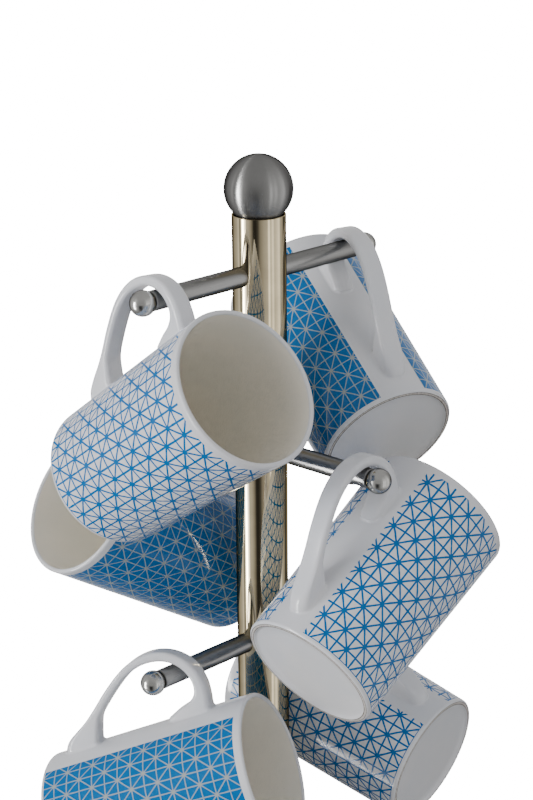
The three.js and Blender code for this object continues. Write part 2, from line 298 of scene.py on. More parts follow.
class Tree:
    """Short calls for building a node tree."""

    def __init__(self, tree):
        self.tree = tree

    def node(self, kind, inputs=None, **settings):
        node = self.tree.nodes.new(kind)
        for key, value in settings.items():
            setattr(node, key, value)
        for key, value in (inputs or {}).items():
            self.put(node.inputs[key], value)
        return node

    def put(self, socket, value):
        if isinstance(value, bpy.types.NodeSocket):
            self.tree.links.new(value, socket)
        else:
            socket.default_value = value

    def math(self, operation, *values):
        node = self.node("ShaderNodeMath", dict(enumerate(values)), operation=operation)
        return node.outputs[0]

    def vector_math(self, operation, *values):
        node = self.node("ShaderNodeVectorMath", dict(enumerate(values)), operation=operation)
        return node.outputs[0]

    def ramp(self, value, low, high, to_low=0.0, to_high=1.0):
        inputs = {0: value, 1: low, 2: high, 3: to_low, 4: to_high}
        return self.node("ShaderNodeMapRange", inputs).outputs[0]

    def mix(self, factor, a, b, blend="MIX"):
        node = self.node("ShaderNodeMix", data_type="RGBA", blend_type=blend)
        self.put(node.inputs[0], factor)
        self.put(node.inputs[6], a)
        self.put(node.inputs[7], b)
        return node.outputs[2]

    def blend(self, factor, a, b):
        """Mixes two numbers."""
        node = self.node("ShaderNodeMix", data_type="FLOAT")
        for index, value in ((0, factor), (2, a), (3, b)):
            self.put(node.inputs[index], value)
        return node.outputs[0]

    def noise(self, vector, scale, detail=2.0, roughness=0.5):
        inputs = {"Vector": vector, "Scale": scale, "Detail": detail, "Roughness": roughness}
        return self.node("ShaderNodeTexNoise", inputs).outputs["Fac"]

    def place(self):
        """The point on the piece, in metres."""
        return self.node("ShaderNodeTexCoord").outputs["Object"]

    def group(self, group, inputs):
        node = self.node("ShaderNodeGroup")
        node.node_tree = group
        for key, value in inputs.items():
            self.put(node.inputs[key], value)
        return node


def new_group(name, inputs, outputs):
    """A shader node group; inputs and outputs are (name, socket type, default) lists."""
    group = bpy.data.node_groups.new(name, "ShaderNodeTree")
    for label, kind, default in inputs:
        socket = group.interface.new_socket(label, in_out="INPUT", socket_type=kind)
        if default is not None:
            socket.default_value = default
    for label, kind in outputs:
        group.interface.new_socket(label, in_out="OUTPUT", socket_type=kind)
    tree = Tree(group)
    source = tree.node("NodeGroupInput").outputs
    target = tree.node("NodeGroupOutput").inputs
    return group, tree, source, target


FLOAT, VECTOR = "NodeSocketFloat", "NodeSocketVector"


@made_once("node_groups")
def grain_group(name):
    """Fine lines that run along one direction: a stretched noise, with a slower drift beside it."""
    inputs = [("Vector", VECTOR, None), ("Across", FLOAT, 4000.0), ("Along", FLOAT, 60.0),
              ("Drift", FLOAT, 90.0)]
    group, t, source, target = new_group(name, inputs, [("Lines", FLOAT), ("Patches", FLOAT)])
    ways = {0: source["Across"], 1: source["Across"], 2: source["Along"]}
    stretch = t.node("ShaderNodeCombineXYZ", ways)
    lines = t.noise(t.vector_math("MULTIPLY", source["Vector"], stretch.outputs[0]), 1.0, 3.0, 0.6)
    patches = t.noise(source["Vector"], source["Drift"], 3.0, 0.55)
    t.put(target["Lines"], lines)
    t.put(target["Patches"], patches)
    return group


@made_once("node_groups")
def ripple_group(name):
    """The slight unevenness of a fired glaze, as a height, with a slow drift of tone beside it."""
    inputs = [("Vector", VECTOR, None), ("Scale", FLOAT, 120.0)]
    group, t, source, target = new_group(name, inputs, [("Height", FLOAT), ("Tone", FLOAT)])
    broad = t.noise(source["Vector"], source["Scale"], 2.0, 0.45)
    fine = t.noise(source["Vector"], t.math("MULTIPLY", source["Scale"], 14.0), 2.0, 0.5)
    t.put(target["Height"], t.math("MULTIPLY_ADD", fine, 0.06, broad))
    slow = t.math("MULTIPLY", source["Scale"], 0.35)
    t.put(target["Tone"], t.noise(source["Vector"], slow, 3.0, 0.5))
    return group


@made_once("node_groups")
def lattice_group(name):
    """Stars joined by lines: rows and columns at whole numbers of the UV map, stars where their
    sum is even, and the two diagonals that join them. Widths are in millimetres."""
    inputs = [("UV", VECTOR, None), ("Line width", FLOAT, 0.6), ("Star radius", FLOAT, 0.9),
              ("Wobble", FLOAT, 0.05)]
    outputs = [("Lines", FLOAT), ("Stars", FLOAT)]
    group, t, source, target = new_group(name, inputs, outputs)
    row_mm = radians(ROW_PITCH) * PRINT_RADIUS

    drift = t.node("ShaderNodeTexNoise", {"Vector": source["UV"], "Scale": 0.9, "Detail": 1.0})
    centred = t.vector_math("SUBTRACT", drift.outputs["Color"], (0.5, 0.5, 0.5))
    shift = t.node("ShaderNodeVectorMath", {0: centred}, operation="SCALE")
    t.put(shift.inputs["Scale"], source["Wobble"])
    uv = t.vector_math("ADD", source["UV"], shift.outputs[0])
    split = t.node("ShaderNodeSeparateXYZ", {0: uv})
    x, y = split.outputs[0], split.outputs[1]

    def off_line(value, pitch):
        """Distance in millimetres to the nearest whole number of value."""
        nearest = t.math("ROUND", value)
        return t.math("MULTIPLY", t.math("ABSOLUTE", t.math("SUBTRACT", value, nearest)), pitch)

    half_sum = t.math("MULTIPLY", t.math("ADD", x, y), 0.5)
    half_gap = t.math("MULTIPLY", t.math("SUBTRACT", x, y), 0.5)
    diagonal_mm = 2 * row_mm * COLUMN_PITCH / sqrt(row_mm ** 2 + COLUMN_PITCH ** 2)
    near = t.math("MINIMUM", off_line(x, row_mm), off_line(y, COLUMN_PITCH))
    slant = t.math("MINIMUM", off_line(half_sum, diagonal_mm), off_line(half_gap, diagonal_mm))
    nearest_line = t.math("MINIMUM", near, slant)

    p = t.math("SUBTRACT", half_sum, t.math("ROUND", half_sum))
    q = t.math("SUBTRACT", half_gap, t.math("ROUND", half_gap))
    star_x = t.math("MULTIPLY", t.math("ADD", p, q), row_mm)
    star_y = t.math("MULTIPLY", t.math("SUBTRACT", p, q), COLUMN_PITCH)
    squares = t.math("ADD", t.math("POWER", star_x, 2.0), t.math("POWER", star_y, 2.0))
    star_off = t.math("SQRT", squares)

    pressure = t.ramp(t.noise(source["UV"], 2.3, 1.0), 0.3, 0.7, 0.85, 1.15)
    width = t.math("MULTIPLY", t.math("MULTIPLY", source["Line width"], 0.5), pressure)
    past_line = t.math("SUBTRACT", nearest_line, width)
    past_star = t.math("SUBTRACT", star_off, source["Star radius"])
    t.put(target["Lines"], t.ramp(past_line, LINE_SOFT, -LINE_SOFT))
    t.put(target["Stars"], t.ramp(past_star, STAR_SOFT, -STAR_SOFT))
    return group


def new_material(name):
    material = bpy.data.materials.new(name)
    material.use_nodes = True
    tree = material.node_tree
    shader = next(n for n in tree.nodes if n.type == "BSDF_PRINCIPLED")
    return material, Tree(tree), shader.inputs


def bump(t, height, strength, distance):
    inputs = {"Height": height, "Strength": strength, "Distance": distance}
    return t.node("ShaderNodeBump", inputs).outputs[0]


def rgba(colour):
    return (*colour[:3], 1.0)


# ------------ finishes


@made_once("materials")
def metal(name, colour, roughness, spread, vector_kind="Object", across=4000.0, along=60.0,
          depth=0.000002, anisotropy=0.0):
    """A metal with a grain, uneven roughness and slight stains."""
    material, t, shader = new_material(name)
    if vector_kind == "Object":
        place = t.place()
    else:
        place = t.node("ShaderNodeUVMap", uv_map=vector_kind).outputs[0]
    grain = t.group(grain_group("metal_grain"), {"Vector": place, "Across": across, "Along": along}).outputs
    dark = tuple(c * 0.86 for c in colour[:3])
    tint = t.mix(t.ramp(grain["Patches"], 0.35, 0.7), rgba(dark), rgba(colour))
    t.put(shader["Base Color"], tint)
    shader["Metallic"].default_value = 1.0
    shader["Anisotropic"].default_value = anisotropy
    shader["Anisotropic Rotation"].default_value = 0.25 if anisotropy else 0.0
    shader["Specular Tint"].default_value = (0.1, 0.1, 0.1, 1.0)  # painted shade: it darkens the grazing edge, standing in for dark surroundings reflected there
    mixed = t.blend(0.4, grain["Lines"], grain["Patches"])
    t.put(shader["Roughness"], t.ramp(mixed, 0.3, 0.7, roughness - spread, roughness + spread))
    if depth:
        t.put(shader["Normal"], bump(t, grain["Lines"], 0.5, depth))
    return material


@made_once("materials")
def dull(name, colour, roughness, grit, depth):
    """Rubber, nylon and cast iron: a mottled colour over a fine grit."""
    material, t, shader = new_material(name)
    place = t.place()
    coarse = t.noise(place, grit * 0.12, 3.0)
    fine = t.noise(place, grit, 4.0, 0.6)
    darker = tuple(c * 0.75 for c in colour)
    t.put(shader["Base Color"], t.mix(t.ramp(coarse, 0.3, 0.7), rgba(darker), rgba(colour)))
    t.put(shader["Roughness"], t.ramp(fine, 0.3, 0.7, roughness - 0.08, roughness + 0.08))
    t.put(shader["Normal"], bump(t, fine, 0.6, depth))
    return material


def glaze_surface(t, shader, place, colour, shine=0.5):
    """Gloss, ripple and a faint drift of tone shared by all the glazed faces."""
    ripple = t.group(ripple_group("glaze_ripple"), {"Vector": place}).outputs
    cooler = t.mix(1.0, colour, (0.95, 0.97, 0.99, 1.0), "MULTIPLY")
    t.put(shader["Base Color"], t.mix(t.ramp(ripple["Tone"], 0.35, 0.65), cooler, colour))
    t.put(shader["Roughness"], t.ramp(ripple["Tone"], 0.3, 0.7, 0.05, 0.09))
    t.put(shader["Normal"], bump(t, ripple["Height"], 0.25, 0.0003))
    shader["IOR"].default_value = 1.5
    shader["Specular IOR Level"].default_value = shine


@made_once("materials")
def plain_china(name, colour):
    material, t, shader = new_material(name)
    place = t.place()
    speck = t.ramp(t.noise(place, 900.0, 2.0), 0.74, 0.78)
    specked = t.mix(t.math("MULTIPLY", speck, 0.25), rgba(colour), (0.35, 0.32, 0.27, 1.0))
    glaze_surface(t, shader, place, specked)
    return material


@made_once("materials")
def bare_foot(name, dark, light):
    """The unglazed ring that the mug stands on, or the edge of the glaze beside it."""
    material, t, shader = new_material(name)
    place = t.place()
    grit = t.noise(place, 900.0, 4.0, 0.65)
    t.put(shader["Base Color"], t.mix(t.ramp(grit, 0.35, 0.65), rgba(dark), rgba(light)))
    t.put(shader["Roughness"], t.ramp(grit, 0.3, 0.7, 0.65, 0.85))
    t.put(shader["Normal"], bump(t, grit, 0.6, 0.00008))
    return material


@made_once("materials")
def printed_china(name, on_blue, colours):
    """The wall of a mug under its transfer: blue lines on white, or pale lines on blue."""
    material, t, shader = new_material(name)
    place = t.place()
    uv = t.node("ShaderNodeUVMap", uv_map="turned").outputs[0]
    width, radius, shine = (0.6, 0.95, 0.3) if on_blue else (0.95, 1.05, 0.14)
    settings = {"UV": uv, "Line width": width, "Star radius": radius}
    stars = t.group(lattice_group("star_lattice"), settings).outputs
    height = t.node("ShaderNodeSeparateXYZ", {0: uv}).outputs[1]
    foot_line = t.math("COMPARE", height, 0.19, 0.03)  # a thin line just over the foot
    ink_drift = t.ramp(t.noise(uv, 5.0, 4.0, 0.65), 0.3, 0.7)
    deep = rgba([c * 0.72 for c in colours.ink])
    ink = t.mix(ink_drift, deep, rgba(colours.ink))
    if on_blue:
        marks = t.math("MAXIMUM", stars["Lines"], stars["Stars"])
        bare = t.mix(stars["Stars"], (0.31, 0.38, 0.43, 1.0), (0.36, 0.39, 0.39, 1.0))
        surface = t.mix(marks, ink, bare)
    else:
        marks = t.math("MAXIMUM", t.math("MAXIMUM", stars["Lines"], stars["Stars"]), foot_line)
        surface = t.mix(marks, rgba(colours.glaze), ink)
    glaze_surface(t, shader, place, surface, shine)
    return material


def stand_finishes(colours):
    """Materials of the stand by slot."""
    return {
        "plated_steel": metal("plated_post", colours.plating, 0.055, 0.02, across=2500.0, along=12.0,
                              depth=0.0000006),
        "brushed_steel": metal("brushed_rods", colours.steel, 0.30, 0.05, "turned", 120.0, 40.0,
                               depth=0.000002),
        "polished_steel": metal("polished_tips", (0.58, 0.58, 0.56), 0.17, 0.03, depth=0.0000006),
        "finial": metal("brushed_ball", colours.steel, 0.3, 0.03, across=60.0, along=6000.0,
                        depth=0.0000015, anisotropy=1.0),
        "zinc_steel": metal("zinc_hardware", (0.55, 0.57, 0.59), 0.38, 0.08, across=900.0, along=900.0),
        "cast_weight": dull("cast_iron", (0.10, 0.10, 0.11), 0.75, 1400.0, 0.0002),
        "nylon": dull("white_nylon", (0.78, 0.77, 0.73), 0.5, 2200.0, 0.00003),
        "pad_rubber": dull("black_rubber", (0.035, 0.035, 0.04), 0.8, 3000.0, 0.00008),
    }


# ------------ geometry nodes


@made_once("node_groups")
def copies_tree(name):
    """Sets a template on each point, turned by the point's own turn, and makes it real."""
    tree = bpy.data.node_groups.new(name, "GeometryNodeTree")
    face = tree.interface
    face.new_socket("Geometry", in_out="INPUT", socket_type="NodeSocketGeometry")
    face.new_socket("Template", in_out="INPUT", socket_type="NodeSocketObject")
    face.new_socket("Scale", in_out="INPUT", socket_type="NodeSocketFloat").default_value = 1.0
    face.new_socket("Material", in_out="INPUT", socket_type="NodeSocketMaterial")
    face.new_socket("Geometry", in_out="OUTPUT", socket_type="NodeSocketGeometry")
    t = Tree(tree)
    source = t.node("NodeGroupInput").outputs
    turn = t.node("GeometryNodeInputNamedAttribute", {"Name": "turn"}, data_type="FLOAT_VECTOR")
    template = t.node("GeometryNodeObjectInfo", {"Object": source["Template"], "As Instance": True})
    to_turn = t.node("FunctionNodeEulerToRotation", {0: turn.outputs["Attribute"]})
    copies = t.node("GeometryNodeInstanceOnPoints", {
        "Points": source["Geometry"], "Instance": template.outputs["Geometry"],
        "Rotation": to_turn.outputs[0], "Scale": source["Scale"]})
    real = t.node("GeometryNodeRealizeInstances", {"Geometry": copies.outputs[0]})
    coloured = t.node("GeometryNodeSetMaterial", {
        "Geometry": real.outputs[0], "Material": source["Material"]})
    t.put(t.node("NodeGroupOutput").inputs[0], coloured.outputs[0])
    return tree


def set_input(modifier, label, value):
    for item in modifier.node_group.interface.items_tree:
        if item.item_type == "SOCKET" and item.in_out == "INPUT" and item.name == label:
            modifier[item.identifier] = value
            return
    raise RuntimeError(f"the node tree has no input named {label}")


def copied(name, template_mesh, places, material):
    """One mesh with a copy of the template at each (point, turn)."""
    template = make_object(name + "_template", template_mesh)
    points = bpy.data.meshes.new(name + "_points")
    points.from_pydata([tuple(p) for p, _ in places], [], [])
    turns = points.attributes.new("turn", "FLOAT_VECTOR", "POINT")
    turns.data.foreach_set("vector", [value for _, turn in places for value in turn])
    holder = make_object(name + "_holder", points)
    modifier = holder.modifiers.new("copies", "NODES")
    modifier.node_group = copies_tree("copies_on_arms")
    set_input(modifier, "Template", template)
    set_input(modifier, "Material", material)
    mesh = applied(holder)
    holder.modifiers.remove(modifier)
    bpy.data.objects.remove(holder)
    bpy.data.objects.remove(template)
    mesh.name = name
    if not mesh.polygons:
        raise RuntimeError(f"{name} came out empty")
    mesh.materials.clear()
    return make_object(name, mesh, material)


# ------------ stand


STUD_HOLE = 1.9 * MM  # radius of the blind hole for a tip's stud
ROD_FLAT = 4.5 * MM  # from a tip ball's centre back to the rod's end
HOLE_GAP = 0.12 * MM  # between a rod and the edge of its hole in the post
DRILL_REACH = 30 * MM
WALL_FACING = 0.98  # a face that looks this squarely out of or into the tube is part of its wall


def cut_holes(thing, cutters):
    """Takes each cutter's shape out of a piece, and removes the cutter."""
    for cutter in cutters:
        modifier = thing.modifiers.new("hole", "BOOLEAN")
        modifier.operation = "DIFFERENCE"
        modifier.solver = "EXACT"
        modifier.object = cutter
    mesh = applied(thing)
    thing.modifiers.clear()
    old, thing.data = thing.data, mesh
    bpy.data.meshes.remove(old)
    for cutter in cutters:
        bpy.data.objects.remove(cutter)


def keep_round(mesh):
    """Gives an upright tube's walls their true round normals, whatever the cuts left."""
    normals = [Vector((0, 0, 0))] * len(mesh.loops)
    for face in mesh.polygons:
        centre = Vector((face.center.x, face.center.y, 0)).normalized()
        facing = face.normal.dot(centre)
        if abs(facing) < WALL_FACING:
            continue
        for index in face.loop_indices:
            spot = mesh.vertices[mesh.loops[index].vertex_index].co
            normals[index] = Vector((spot.x, spot.y, 0)).normalized() * (1 if facing > 0 else -1)
    mesh.normals_split_custom_set([tuple(n) for n in normals])


def post_mesh(sizes):
    outer, inner = sizes.post_radius, sizes.post_radius - sizes.post_wall
    low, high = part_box("post_tube")
    edge = 0.25 * MM
    outline = [(inner, low.z), (outer, low.z), (outer, high.z - edge), (outer - edge, high.z),
               (inner + edge, high.z), (inner, high.z - edge), (inner, low.z)]
    return make_mesh("post_tube_fine", *turned(outline, 192), sharp=30)


def finial_mesh(sizes):
    """The ball on the post, with a shallow seat under it where its stud goes in."""
    radius, mouth = sizes.finial_radius, 5 * MM
    centre = box_top("finial_ball") - radius
    start = -degrees(acos(mouth / radius))
    seat = centre - radius * 0.7
    outline = [(0, seat), (mouth - 0.6 * MM, seat), *arc(0, centre, radius, start, 90, 48)]
    outline[-1] = (0, centre + radius)
    return make_mesh("finial_ball_fine", *turned(outline, 128), sharp=40)


def rod_mesh(sizes):
    """A rod along X, with softened ends and a blind hole for each tip's stud."""
    reach, depth = sizes.tip_reach - ROD_FLAT, 5 * MM
    radius, soft = sizes.rod_radius, 0.5 * MM
    end = [*arc(radius - soft, reach - soft, soft, 0, 90, 5), (STUD_HOLE, reach),
           (STUD_HOLE, reach - depth), (0, reach - depth)]
    start = [(r, -z) for r, z in reversed(end)]
    mesh = make_mesh("arm_rods", *turned([*start, *end], 64), sharp=40)
    mesh.transform(Matrix.Rotation(pi / 2, 4, "Y"))
    return mesh


def tip_mesh(sizes):
    """A tip ball along X round the origin, with its flat against the rod."""
    radius, flat, depth = sizes.tip_radius, 4.2 * MM, 1 * MM
    start = -degrees(acos(sqrt(radius ** 2 - flat ** 2) / radius))
    ball = arc(0, 0, radius, start, 90, 32)
    ball[-1] = (0, radius)
    hole = [(0, -flat + depth), (STUD_HOLE, -flat + depth), (STUD_HOLE, -flat)]
    mesh = make_mesh("arm_tips", *turned([*hole, *ball], 64), sharp=40)
    mesh.transform(Matrix.Rotation(pi / 2, 4, "Y"))
    return mesh


def cover_mesh(sizes):
    """The spun cover: a rolled edge, a round shoulder and a shallow dome up to a flat."""
    low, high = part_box("base_cover")
    radius, thick, burr, steps = sizes.cover_radius, 0.8 * MM, 0.2 * MM, 16
    shoulder, shoulder_z, flat, fall = 5 * MM, 7 * MM, 16 * MM, 5 * MM

    def dome(inset):
        round_part = arc(radius - shoulder, shoulder_z, shoulder - inset, 0, 79.5, 14)
        reach = radius - shoulder - flat
        slope = []
        for i in range(1, steps + 1):
            share = 0.985 * (1 - i / steps)
            slope.append((flat + share * reach, high.z - inset - fall * share ** 2))
        return [*round_part, *slope]

    hole = 4.3 * MM
    outline = [(radius - thick, low.z), (radius - burr, low.z), (radius, low.z + burr), *dome(0),
               (hole, high.z), (hole, high.z - thick), *reversed(dome(thick)), (radius - thick, low.z)]
    return make_mesh("base_cover_fine", *turned(outline, 160), sharp=35)


# ------------ mugs


def smooth_path(rows, steps):
    """Catmull-Rom through rows of numbers, with the ends kept."""
    rows = [rows[0], *rows, rows[-1]]
    out = []
    for a, b, c, d in zip(rows, rows[1:], rows[2:], rows[3:]):
        for i in range(steps):
            u = i / steps
            out.append([0.5 * (2 * q + (r - p) * u + (2 * p - 5 * q + 4 * r - s) * u * u
                               + (3 * q - p - 3 * r + s) * u ** 3)
                        for p, q, r, s in zip(a, b, c, d)])
    out.append(list(rows[-2]))
    return out


# The handle, in stations from its foot to its root: height and distance of its outer side, the
# same of its inner side, its width, and the corner radii of its outer and inner sides (mm).
HANDLE = (
    (9.6, 35.4, 28.4, 35.9, 11.0, 4.6, 2.6),
    (11.4, 38.0, 29.2, 38.4, 10.9, 4.4, 2.4),
    (14.4, 40.3, 30.2, 41.0, 10.7, 4.0, 2.2),
    (18.6, 42.6, 31.2, 43.6, 10.5, 3.0, 2.0),
    (24.5, 46.0, 32.6, 46.2, 10.3, 2.2, 1.9),
    (31.0, 50.8, 35.2, 48.9, 10.2, 1.8, 1.8),
    (39.2, 57.4, 42.0, 54.4, 10.2, 1.7, 1.8),
    (47.6, 63.3, 49.9, 60.0, 10.2, 1.7, 1.8),
    (55.0, 67.2, 56.4, 63.3, 10.2, 1.7, 1.8),
    (63.0, 69.4, 63.3, 65.1, 10.2, 1.7, 1.8),
    (71.0, 69.5, 70.2, 64.9, 10.2, 1.8, 1.9),
    (78.6, 67.1, 76.2, 62.9, 10.2, 1.9, 1.9),
    (84.8, 62.4, 80.9, 59.1, 10.2, 2.0, 2.0),
    (88.7, 56.2, 83.8, 53.9, 10.3, 2.1, 2.0),
    (90.2, 49.2, 84.4, 48.6, 10.4, 2.2, 2.2),
    (90.1, 44.6, 82.8, 44.4, 10.5, 2.3, 2.6),
    (89.7, 41.4, 78.8, 41.5, 10.6, 2.4, 3.0),
    (89.3, 39.2, 73.2, 39.8, 10.6, 2.6, 3.8),
    (89.1, 37.4, 66.6, 36.9, 10.6, 2.8, 4.4),
)
HANDLE_STEPS, CORNER_STEPS, FILLET_STEPS = 5, 8, 6
FILLET = 1.5  # mm: how far the handle spreads where it meets the wall
HUG_REACH = 9  # mm from the wall over which the handle's section takes on the wall's curve
FILLET_SINK, END_SINK = 0.03, 1.2  # mm under the wall: the fillet's edge and the handle's end


def rounded_ring(length, width, outer_corner, inner_corner):
    """A rectangle with rounded corners as (along, across) points; its +along side is the outer."""
    limit = 0.49 * min(length, width)
    outer_corner, inner_corner = min(outer_corner, limit), min(inner_corner, limit)
    ring = []
    corners = ((1, 1, outer_corner, 0), (-1, 1, inner_corner, 90),
               (-1, -1, inner_corner, 180), (1, -1, outer_corner, 270))
    for along, across, corner, start in corners:
        a, b = along * (length / 2 - corner), across * (width / 2 - corner)
        for i in range(CORNER_STEPS + 1):
            angle = radians(start + 90 * i / CORNER_STEPS)
            ring.append((a + corner * cos(angle), b + corner * sin(angle)))
    return ring


def wall_radius(sizes, z):
    """Outer radius of the mug in millimetres at a height in millimetres."""
    base, rim = sizes.mug_base_radius / MM, sizes.mug_rim_radius / MM
    return base + (rim - base) * z * MM / sizes.mug_height


def wall_x(sizes, y, z):
    return sqrt(wall_radius(sizes, z) ** 2 - y * y)


def handle_rings(sizes):
    """Rings of (x, y, z) in millimetres from inside the wall at the foot to inside it at the root."""
    rings = []
    stations = smooth_path(HANDLE, HANDLE_STEPS)
    for outer_z, outer_x, inner_z, inner_x, width, outer_r, inner_r in stations:
        along = Vector((outer_x - inner_x, 0, outer_z - inner_z))
        middle = Vector(((outer_x + inner_x) / 2, 0, (outer_z + inner_z) / 2))
        direction = along.normalized()
        ring = []
        for a, b in rounded_ring(along.length, width, outer_r, inner_r):
            point = middle + direction * a + Vector((0, b, 0))
            rise = point.x - wall_radius(sizes, point.z)
            hug = min(1.0, max(0.0, 1 - rise / HUG_REACH))
            sag = wall_radius(sizes, point.z) - wall_x(sizes, point.y, point.z)
            ring.append(Vector((point.x - sag * hug, point.y, point.z)))
        rings.append(ring)
    return [*reversed(spread(sizes, rings[0])), *rings, *spread(sizes, rings[-1])]


def spread(sizes, ring):
    """Rings that carry an end of the handle out onto the wall in a fillet, and then under it."""
    count = len(ring)
    corner, foot = [], []
    for i, point in enumerate(ring):
        tangent = ring[(i + 1) % count] - ring[i - 1]
        outward = Vector((0, -tangent.z, tangent.y)).normalized()
        middle = sum(ring, Vector()) / count
        if outward.dot(point - middle) < 0:
            outward.negate()
        corner.append(Vector((wall_x(sizes, point.y, point.z), point.y, point.z)))
        edge = point + outward * FILLET
        foot.append(Vector((wall_x(sizes, edge.y, edge.z) - FILLET_SINK, edge.y, edge.z)))
    rings = []
    for k in range(1, FILLET_STEPS + 1):
        u = k / FILLET_STEPS
        rings.append([(1 - u) ** 2 * a + 2 * u * (1 - u) * b + u * u * c
                      for a, b, c in zip(ring, corner, foot)])
    rings.append([c - Vector((END_SINK, 0, 0)) for c in corner])
    return rings


def handle_shape(sizes):
    rings = handle_rings(sizes)
    count = len(rings[0])
    verts = [point * MM for ring in rings for point in ring]
    faces = []
    for k in range(len(rings) - 1):
        for i in range(count):
            j = (i + 1) % count
            faces.append([k * count + i, k * count + j, (k + 1) * count + j, (k + 1) * count + i])
    for row, flip in ((0, False), (len(rings) - 1, True)):
        verts.append(sum(rings[row], Vector()) / count * MM)
        for i in range(count):
            j = (i + 1) % count
            pair = [row * count + j, row * count + i]
            faces.append([len(verts) - 1, *(reversed(pair) if flip else pair)])
    return verts, faces


WALL, LIP, FLOOR = 3.0, 2.3, 5.5  # mm: wall low down, at the rim, and the floor's height
WELL = 8  # mm: radius between the floor and the wall inside
RECESS, RECESS_H, FOOT_CORNER = 30.9, 1.1, 1.3  # mm: the hollow's radius and depth, the outer corner
FOOT_IN = RECESS + 0.2  # mm: the unglazed ring's inner and outer radius, and its dark edges' width
FOOT_OUT, FOOT_LINE = FOOT_IN + 1.75, 0.45
PRINT_FOOT, PRINT_TOP, LIP_FOOT = 1.9, 104, 105.5  # mm: the transfer's edges and the rim's start
LIP_STEPS = 12
OUTER_DEPTH = 1.2  # mm: faces this near the wall's outside belong to it
UNPRINTED = -40.0  # a place on the map far below the transfer


def mug_outline(sizes):
    """The mug body's outline in millimetres, from the middle underneath, up the outside, over the
    rim and down to the middle of the floor inside."""
    base, rim = sizes.mug_base_radius / MM, sizes.mug_rim_radius / MM
    top = sizes.mug_height / MM
    under = [(0, RECESS_H), (RECESS - 6, RECESS_H), (RECESS - 1.6, RECESS_H),
             (RECESS - 0.8, RECESS_H - 0.25), (RECESS - 0.2, 0.3), (RECESS, 0.08), (FOOT_IN, 0)]
    bare = [(FOOT_IN + FOOT_LINE, 0), (FOOT_OUT - FOOT_LINE, 0)]
    corner = arc(base - FOOT_CORNER, FOOT_CORNER, FOOT_CORNER, -78, 0, 10)
    lift = (rim - base) / top
    corner = [(r + lift * z * (z / FOOT_CORNER), z) for r, z in corner]
    heights = (PRINT_FOOT, *range(8, PRINT_TOP, 8), PRINT_TOP, LIP_FOOT)
    wall = [(wall_radius(sizes, z), z) for z in heights]
    lip = arc(rim - LIP / 2, top - LIP / 2, LIP / 2, 0, 180, LIP_STEPS)
    inner = [(rim - LIP - 0.35, 104.5), (rim - WALL, 98)]
    for z in (88, 76, 64, 52, 40, 28, 20):
        inner.append((wall_radius(sizes, z) - WALL - 0.1, z))
    well = arc(base - WALL - WELL, FLOOR + WELL, WELL, 0, -90, 10)
    floor = [(16, FLOOR - 0.1), (8, FLOOR - 0.15), (0, FLOOR - 0.15)]
    return [*under, *bare, *corner, *wall, *lip, *inner, *well, *floor]


def mug_angles(sizes, name):
    """Angles round the mug, with one exactly on each cut edge of the transfer."""
    _, _, start, end = PRINTS[name]
    count = sizes.mug_sides
    angles = [2 * pi * i / count for i in range(count)]
    for edge in (start, end + 360):
        nearest = min(range(count), key=lambda i: abs(angles[i] - radians(edge)))
        angles[nearest] = radians(edge)
    return angles


def mug_mesh(sizes, name):
    """One mug, upright, with material 0 under the transfer, 1 outside, 2 inside, 3 on the foot and
    4 where the glaze ends at the foot."""
    _, row, start, end = PRINTS[name]
    outline = [(r * MM, z * MM) for r, z in mug_outline(sizes)]
    verts, faces, uvs = turned(outline, angles=mug_angles(sizes, name))
    kinds, maps = [], []
    near = 0.01  # mm, or degrees
    for face, uv in zip(faces, uvs):
        spots = [verts[v] for v in face]
        z_low, z_high = min(s[2] for s in spots) / MM, max(s[2] for s in spots) / MM
        r_mean = sum(sqrt(s[0] ** 2 + s[1] ** 2) for s in spots) / len(spots) / MM
        turns = [360 * c[0] for c in uv]
        outer = r_mean > wall_radius(sizes, (z_low + z_high) / 2) - OUTER_DEPTH
        in_print = start - near <= min(turns) and max(turns) <= end + 360 + near
        if outer and in_print and z_low >= PRINT_FOOT - near and z_high <= PRINT_TOP + near:
            kinds.append(0)
        elif z_high < 4 * near:
            kinds.append(3 if FOOT_IN + FOOT_LINE < r_mean < FOOT_OUT - FOOT_LINE else 4)
        elif outer or z_high <= RECESS_H + near / 10 or z_low >= LIP_FOOT + 0.5:
            kinds.append(1)
        else:
            kinds.append(2)
        maps.append([((turn - row) / ROW_PITCH, (verts[v][2] / MM - COLUMN_START) / COLUMN_PITCH)
                     for turn, v in zip(turns, face)])
    more_verts, more_faces = handle_shape(sizes)
    offset = len(verts)
    verts += [tuple(v) for v in more_verts]
    for face in more_faces:
        faces.append([offset + v for v in face])
        kinds.append(1)
        maps.append([(0.0, UNPRINTED)] * len(face))
    mesh = make_mesh(f"mug_{name}_fine", verts, faces, maps, sharp=50)
    mesh.polygons.foreach_set("material_index", kinds)
    mesh.transform(mug_frame(name))
    mesh.update()
    return mesh


# ------------ stage

CAMERA_PLACE = (0.0, -0.83799, 0.5653)
CAMERA_YAW, CAMERA_PITCH, CAMERA_ROLL = 0.19, -19.23, -0.52
CAMERA_LENS = 83.84
WHITE = 17.0  # a brightness that shows as plain white


def add_camera():
    data = bpy.data.cameras.new("studio_camera")
    data.lens = CAMERA_LENS
    data.sensor_width = 36
    camera = bpy.data.objects.new("studio_camera", data)
    bpy.context.scene.collection.objects.link(camera)
    yaw = Matrix.Rotation(-radians(CAMERA_YAW), 4, "Z")
    pitch = Matrix.Rotation(radians(90 + CAMERA_PITCH), 4, "X")
    roll = Matrix.Rotation(radians(CAMERA_ROLL), 4, "Z")
    camera.matrix_world = Matrix.Translation(CAMERA_PLACE) @ yaw @ pitch @ roll
    bpy.context.scene.camera = camera


